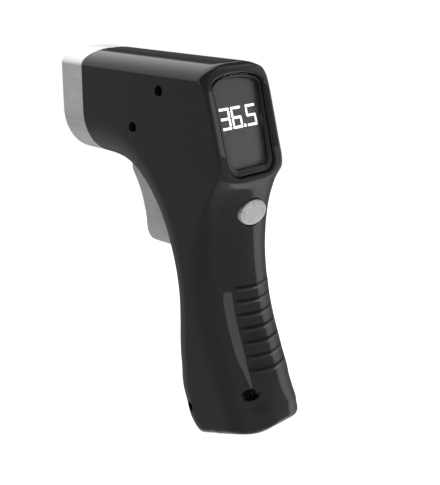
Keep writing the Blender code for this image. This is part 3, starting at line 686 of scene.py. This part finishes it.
def nose_section(inset):
    """Cross-section of the barrel: shallow arched top, flat sides, deep round belly."""
    half = HALF_WIDTH - inset
    wide = TOP_ROUND - inset
    pts = []
    for i in range(NOSE_STEPS + 1):
        t = math.pi / 2 * i / NOSE_STEPS
        z = TOP_Z - TOP_DROP + (TOP_DROP - inset) * math.cos(t)
        pts.append((half - wide + wide * math.sin(t), z))
    for i in range(NOSE_STEPS + 1):
        t = math.pi / 2 * (1 - i / NOSE_STEPS)
        z = BELLY_Z + BELLY_ROUND - (BELLY_ROUND - inset) * math.cos(t)
        pts.append((half * math.sin(t), z))
    return pts + [(-y, z) for y, z in reversed(pts[1:-1])]


def nose_loop(x, inset):
    return [Vector((x, y, z)) for y, z in nose_section(inset)]


# X and inset round the wall: rear face, outside, front lip, bore, spigot inside the housing
NOSE_WALL = [(0.2, 2.2), (0.2, 0.35), (0.3, 0.1), (0.55, 0.0), (7.5, 0.0), (14.3, 0.0), (14.8, 0.1),
             (15.15, 0.32), (15.35, 0.65), (15.4, 1.0), (15.32, 1.4), (15.1, 1.75), (14.7, 1.95),
             (14.0, 2.0), (1.8, 2.0), (1.8, 3.4), (-4.8, 3.4), (-4.8, 2.4), (0.2, 2.4)]
nose = stack([nose_loop(x, i) for x, i in NOSE_WALL], closed=True)
place(nose, "nose_shroud", "body", SILVER, ["nose_ring"])

# ---------------------------------------------------------------- display
bezel = face_stack([(RIM, -4.2), (RIM, -1.25), (grown(RIM, -0.06), -1.0),
                    (grown(RIM, -0.25), -0.85), (grown(RIM, -0.45), -0.8),
                    (grown(WINDOW, 0.55), -0.95), (grown(WINDOW, 0.35), -1.05),
                    (grown(WINDOW, 0.12), -1.2), (WINDOW, -1.45), (WINDOW, -4.2)], closed=True)
place(bezel, "display_surround", "body", BEZEL, ["display_bezel"])
lens = face_stack([(PANE, -3.0), (PANE, -1.86), (grown(PANE, -0.05), -1.8)])
place(lens, "display_window", "body", LENS, ["display_lens"])
lcd = face_stack([(PANE, -4.2), (PANE, -3.35), (grown(PANE, -0.06), -3.3)])
place(lcd, "lcd_face", "body", LCD, ["lcd_glass"])

# seven-segment figures: a top bar, b c right, d bottom, e f left, g middle
SEGMENTS = {"3": "abgcd", "6": "afgedc", "5": "afgcd"}
DIGIT_W, DIGIT_H, STROKE = 6.0, 9.2, 1.08
DIGIT_LOW = -25.5
FACE_SCALE = math.sqrt(1 + HEAD_SLOPE ** 2)
DIGIT_BASE = (DIGIT_LOW - FACE.z) * FACE_SCALE
DIGITS = [(-11.0, "3"), (-4.1, "6"), (4.9, "5")]
POINT_FROM, POINT_TO, POINT_HIGH = 2.6, 3.95, 1.4
FIGURE_BACK, FIGURE_FRONT = -3.28, -3.2
CLIP, BREAK = 0.3, 0.15    # clipped corner; gap between neighbouring segments
FLIP = 1.0 if SIDE.y < 0 else -1.0     # the figures read left to right as seen from behind


def bar(a0, b0, a1, b1):
    """Flat stroke with clipped corners, standing on the display face."""
    a0, a1 = min(a0, a1), max(a0, a1)
    k = CLIP
    pts = [(a0 + k, b0), (a1 - k, b0), (a1, b0 + k), (a1, b1 - k), (a1 - k, b1), (a0 + k, b1),
           (a0, b1 - k), (a0, b0 + k)]
    return stack([[face_point(a, b, c) for a, b in pts] for c in (FIGURE_BACK, FIGURE_FRONT)])


def figure(at, char):
    s, w, h = STROKE, DIGIT_W, DIGIT_H
    mid = h * 0.5
    top, low = (mid + 0.1, h - s - BREAK), (s + BREAK, mid - 0.1)
    spans = {"a": (0, h - s, w, h), "d": (0, 0, w, s),
             "g": (0.2, mid - s / 2, w - 0.2, mid + s / 2),
             "b": (w - s, top[0], w, top[1]), "c": (w - s, low[0], w, low[1]),
             "f": (0, top[0], s, top[1]), "e": (0, low[0], s, low[1])}
    return [bar(FLIP * (at + p[0]), DIGIT_BASE + p[1], FLIP * (at + p[2]), DIGIT_BASE + p[3])
            for p in (spans[c] for c in SEGMENTS[char])]


strokes = []
for at, char in DIGITS:
    strokes += figure(at, char)
strokes.append(bar(FLIP * POINT_FROM, DIGIT_BASE, FLIP * POINT_TO, DIGIT_BASE + POINT_HIGH))
place(group(*strokes), "lcd_figures", "body", DIGIT, weighted=False)

# ---------------------------------------------------------------- mode button
FLANGE = 0.9
cap = stack([button_loop(1.0, -4.9, FLANGE), button_loop(1.0, -4.1, FLANGE), button_loop(1.0, -4.0)]
            + [button_loop(share, high) for share, high in CROWN])
place(cap, "mode_button_cap", "button", BUTTON_SILVER, ["mode_button"])


def dome(y, z):
    """Height of the button's crown at a point."""
    r = min(1.0, math.hypot(y / BUTTON_A, z / BUTTON_B))
    inner = CROWN[:3:-1]
    return float(np.interp(r, [share for share, high in inner], [high for share, high in inner]))


STRIP_HALF, STRIP_PROUD, STRIP_SUNK = 0.24, 0.06, 0.1


def crown_strip(path):
    """Thin raised line that follows the crown of the button."""
    p = np.array(path, float)
    t = np.gradient(p, axis=0)
    t /= np.linalg.norm(t, axis=1)[:, None]
    n = np.stack([-t[:, 1], t[:, 0]], 1) * STRIP_HALF
    loops = []
    for a, b in zip(p, n):
        c = [(a - b, -STRIP_SUNK), (a - b * 0.8, STRIP_PROUD), (a + b * 0.8, STRIP_PROUD),
             (a + b, -STRIP_SUNK)]
        loops.append([BUTTON + Vector((-(dome(*q) + h), q[0], q[1])) for q, h in c])
    return stack(loops)


# power sign: an open ring and an upright stroke
ICON_R = 2.3
arc = [(ICON_R * math.cos(t), ICON_R * math.sin(t))
       for t in np.linspace(math.radians(125), math.radians(415), 40)]
icon = group(crown_strip(arc), crown_strip([(0, 0.4 + 0.35 * i) for i in range(8)]))
place(icon, "mode_button_icon", "button", ICON, weighted=False)

# ---------------------------------------------------------------- trigger
FACE_LINE = [(-21.0, -52.4), (-24.2, -57.4), (-26.9, -63.0), (-28.8, -69.0), (-30.0, -75.5),
             (-30.6, -81.6), (-31.0, -83.6), (-32.2, -84.5), (-35.0, -84.7), (-40.0, -84.7),
             (-45.0, -84.6), (-48.6, -84.0)]
BACK_LINE = [(-47.0, -78), (-42.5, -69.0), (-37.0, -61.5), (-32.0, -54.0), (-28.8, -47.0),
             (-28.0, -41.6), (-26.5, -40.2), (-23.5, -40.2), (-22.0, -41.6), (-20.6, -48.4)]
line = smooth_line(FACE_LINE, 4) + smooth_line(BACK_LINE, 3)
ROUND = 1.1
SPRING_ROOM = (-31, -18, -3.6, 3.6, -46.4, -38)
# rounding of the sides towards the lever's tip
TIP_HALF, TIP_TOP, TIP_LOW, TIP_IN = TRIGGER_HALF + 0.02, -79.6, -85.4, 2.6


def trigger_loop(y, inset):
    """Outline of the lever at one distance from the middle, drawn in by `inset`."""
    p = np.array(line)
    t = np.roll(p, -1, 0) - np.roll(p, 1, 0)
    t /= np.linalg.norm(t, axis=1)[:, None] + 1e-9
    q = p + np.stack([t[:, 1], -t[:, 0]], 1) * -inset
    return [Vector((a, y, b)) for a, b in q]


sides = [(TRIGGER_HALF - ROUND + ROUND * math.sin(t), ROUND * (1 - math.cos(t)))
         for t in np.linspace(0, math.pi / 2, 6)]
loops = [trigger_loop(-y, i) for y, i in reversed(sides)] + [trigger_loop(y, i) for y, i in sides]
trig = stack(loops)
cut(trig, cross_rod(PIVOT_X, PIVOT_Z, 9, PIVOT_HOLE, 24))
cut(trig, slab(*SPRING_ROOM))
tip = [(TIP_HALF - TIP_IN * (1 - math.cos(t)), TIP_TOP + (TIP_LOW - TIP_TOP) * math.sin(t))
       for t in np.linspace(0, math.pi / 2, 10)]
tip = [(TIP_HALF, -36.0)] + tip
tip += [(-y, z) for y, z in reversed(tip)]
keep(trig, stack([[Vector((x, y, z)) for y, z in tip] for x in (-60, -15)]))
place(trig, "trigger_lever", "trigger", SILVER, ["trigger"])

# ---------------------------------------------------------------- finishes of the pieces kept
KEPT = {
    "nose_plate": DARK, "sensor_funnel": CAN, "sensor_holder": DARK, "thermopile_can": CAN,
    "thermopile_window": FILTER, "sensor_board": BOARD, "trigger_pin": STEEL,
    "trigger_spring": STEEL, "trigger_switch_body": CHIP, "trigger_switch_plunger": WHITE,
    "trigger_switch_board": BOARD, "lcd_rear_glass": LCD, "lcd_frame": WHITE,
    "backlight_panel": WHITE, "lcd_contact_strip": RUBBER, "main_board": BOARD,
    "main_chip": CHIP, "display_driver": CHIP, "crystal": STEEL, "capacitor": CHIP,
    "buzzer": CHIP, "board_screw_a": STEEL, "board_screw_b": STEEL,
    "button_switch_plunger": WHITE, "button_switch_body": CHIP, "button_board": BOARD,
    "battery_door_pin": STEEL, "battery_tray": DARK, "battery_a": WRAP, "battery_b": WRAP,
    "battery_spring_a": STEEL, "battery_spring_b": STEEL, "contact_plate_upper": PLATED,
    "contact_plate_lower": PLATED,
}
for tag in "abcd":
    KEPT["sensor_lead_" + tag] = PLATED
    KEPT["shell_screw_" + tag] = STEEL
for name, mat in KEPT.items():
    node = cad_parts[name]
    node.data.materials.clear()
    node.data.materials.append(mat)

# ---------------------------------------------------------------- floor
# white to the camera, brighter to everything else, so that the undersides get even light
FLOOR_SEEN, FLOOR_BOUNCE = 1.0, 2.2
bpy.ops.mesh.primitive_plane_add(size=6.0, location=(0, 0, CAD_BOX[0][2]))
floor = bpy.context.active_object
floor.name = "floor"
floor_mat = surface("floor_white", (0.05, 0.05, 0.05), 0.8, specular=0.1, grain=8, bump=0.0,
                    tint=0.01)
floor_glow = floor_mat.node_tree.nodes["Principled BSDF"]
floor_glow.inputs["Emission Color"].default_value = (1, 1, 1, 1)
floor_path = floor_mat.node_tree.nodes.new("ShaderNodeLightPath")
floor_lift = floor_mat.node_tree.nodes.new("ShaderNodeMath")
floor_lift.operation = "MULTIPLY_ADD"
floor_lift.inputs[1].default_value = FLOOR_SEEN - FLOOR_BOUNCE
floor_lift.inputs[2].default_value = FLOOR_BOUNCE
floor_mat.node_tree.links.new(floor_path.outputs["Is Camera Ray"], floor_lift.inputs[0])
floor_mat.node_tree.links.new(floor_lift.outputs[0], floor_glow.inputs["Emission Strength"])
floor.data.materials.append(floor_mat)
floor.visible_glossy = False

# ---------------------------------------------------------------- studio surroundings
TURN = PLACE.to_3x3().normalized()
BOX_FROM = 228.0           # where the tall softbox on the right begins, degrees round from +X
BOX_MIDDLE = 50.0          # from there to its middle
BOX_POWER, BOX_EDGE = 1.15, 0.1
KEY_POWER, GROUND_POWER = 1.42, 0.4
FILL_POWER, FILL_LOW = 0.3, -0.06
ROOM, ROOM_BEHIND, ROOM_LEAST = 0.48, -0.42, 0.03
AWAY = (0.69, -0.72, 0)    # from the camera past the object


def studio():
    """Pale studio: darker overhead, a key softbox up left and a tall softbox to the right."""
    w = bpy.data.worlds.new("studio")
    bpy.context.scene.world = w
    w.use_nodes = True
    nt = w.node_tree
    nt.nodes.clear()
    link = nt.links.new
    co = nt.nodes.new("ShaderNodeTexCoord")

    def dot(direction, lo, hi):
        """Soft step from 0 at lo to 1 at hi of the cosine to a direction in the barrel frame."""
        d = nt.nodes.new("ShaderNodeVectorMath")
        d.operation = "DOT_PRODUCT"
        d.inputs[1].default_value = TURN @ Vector(direction).normalized()
        link(co.outputs["Generated"], d.inputs[0])
        r = nt.nodes.new("ShaderNodeMapRange")
        r.interpolation_type = "SMOOTHSTEP"
        r.inputs["From Min"].default_value = min(lo, hi)
        r.inputs["From Max"].default_value = max(lo, hi)
        r.inputs["To Min"].default_value = 0.0 if lo < hi else 1.0
        r.inputs["To Max"].default_value = 1.0 if lo < hi else 0.0
        link(d.outputs["Value"], r.inputs["Value"])
        return r.outputs["Result"]

    def math_node(op, a, b):
        m = nt.nodes.new("ShaderNodeMath")
        m.operation = op
        for i, v in enumerate((a, b)):
            if isinstance(v, (int, float)):
                m.inputs[i].default_value = v
            else:
                link(v, m.inputs[i])
        return m.outputs[0]

    def times(*v):
        out = v[0]
        for q in v[1:]:
            out = math_node("MULTIPLY", out, q)
        return out

    def plus(*v):
        out = v[0]
        for q in v[1:]:
            out = math_node("ADD", out, q)
        return out

    low = dot((0, 0, 1), 0.32, 0.08)                   # everything below the ceiling line
    behind = dot(AWAY, 0.35, 0.95)                     # dim beyond the object
    ground = times(dot((0, 0, 1), -0.5, -0.9), dot(AWAY, 0.7, 0.3), GROUND_POWER)
    key = times(dot((0, 0.652, 0.758), -0.13, -0.08), dot((0, 0, 1), 0.0, 0.25),
                dot((1, 0, 0), 0.2, 0.45), KEY_POWER)
    a = math.radians(BOX_FROM)
    mid = math.radians(BOX_FROM + BOX_MIDDLE)
    across = (-math.sin(a), math.cos(a), 0)
    fall = plus(times(dot(across, 0.7, 0.0), BOX_POWER), times(dot(across, 0.92, 0.8), BOX_EDGE))
    box = times(dot(across, 0.0, 0.05), dot((math.cos(mid), math.sin(mid), 0), 0.05, 0.4), fall,
                dot((0, 0, 1), 0.6, 0.35))
    fill = times(dot((-1, 0, 0), -0.1, 0.6), dot((0, 0, 1), 0.95, 0.5),
                 plus(times(low, FILL_LOW), FILL_POWER))
    room = times(low, plus(times(behind, ROOM_BEHIND), ROOM))
    total = plus(room, ROOM_LEAST, ground, key, box, fill)
    light = nt.nodes.new("ShaderNodeBackground")
    light.inputs["Color"].default_value = (1, 1, 1, 1)
    link(total, light.inputs["Strength"])
    seen = nt.nodes.new("ShaderNodeBackground")
    seen.inputs["Color"].default_value = (1, 1, 1, 1)
    seen.inputs["Strength"].default_value = 1.0
    path = nt.nodes.new("ShaderNodeLightPath")
    mix = nt.nodes.new("ShaderNodeMixShader")
    link(path.outputs["Is Camera Ray"], mix.inputs["Fac"])
    link(light.outputs[0], mix.inputs[1])
    link(seen.outputs[0], mix.inputs[2])
    out = nt.nodes.new("ShaderNodeOutputWorld")
    link(mix.outputs[0], out.inputs["Surface"])


studio()
LAMP_ANGLE, LAMP_ENERGY = math.radians(40), 23.0
lamp = bpy.data.lights.new("overhead", "SUN")
lamp.angle = LAMP_ANGLE
lamp.energy = LAMP_ENERGY
lamp.specular_factor = 0.0
lamp_ob = bpy.data.objects.new("overhead", lamp)
lamp_ob.location = (0, 0, 1.5)
lamp_ob.visible_glossy = False
bpy.context.scene.collection.objects.link(lamp_ob)

# ---------------------------------------------------------------- camera
CAM_AZ, CAM_EL, CAM_ROLL = math.radians(43.66), math.radians(18.007), math.radians(0.245)
CAM_AT = Vector((-340.48, 284.86, 48.27))
CAM_LENS, CAM_SENSOR = 68.8, 36.0
cam = bpy.data.cameras.new("camera")
cam.lens = CAM_LENS
cam.sensor_width = CAM_SENSOR
cam.clip_start = 0.01
cam_ob = bpy.data.objects.new("camera", cam)
bpy.context.scene.collection.objects.link(cam_ob)
back = Vector((-math.sin(CAM_AZ) * math.cos(CAM_EL), math.cos(CAM_AZ) * math.cos(CAM_EL),
               math.sin(CAM_EL)))
flat_right = Vector((-math.cos(CAM_AZ), -math.sin(CAM_AZ), 0))
flat_up = back.cross(flat_right)
cam_right = flat_right * math.cos(CAM_ROLL) + flat_up * math.sin(CAM_ROLL)
cam_up = flat_up * math.cos(CAM_ROLL) - flat_right * math.sin(CAM_ROLL)
pose = Matrix((cam_right, cam_up, back)).transposed().to_4x4()
pose.translation = CAM_AT * MM
cam_ob.matrix_world = PLACE @ pose
bpy.context.scene.camera = cam_ob
bpy.context.scene.view_settings.view_transform = "Standard"
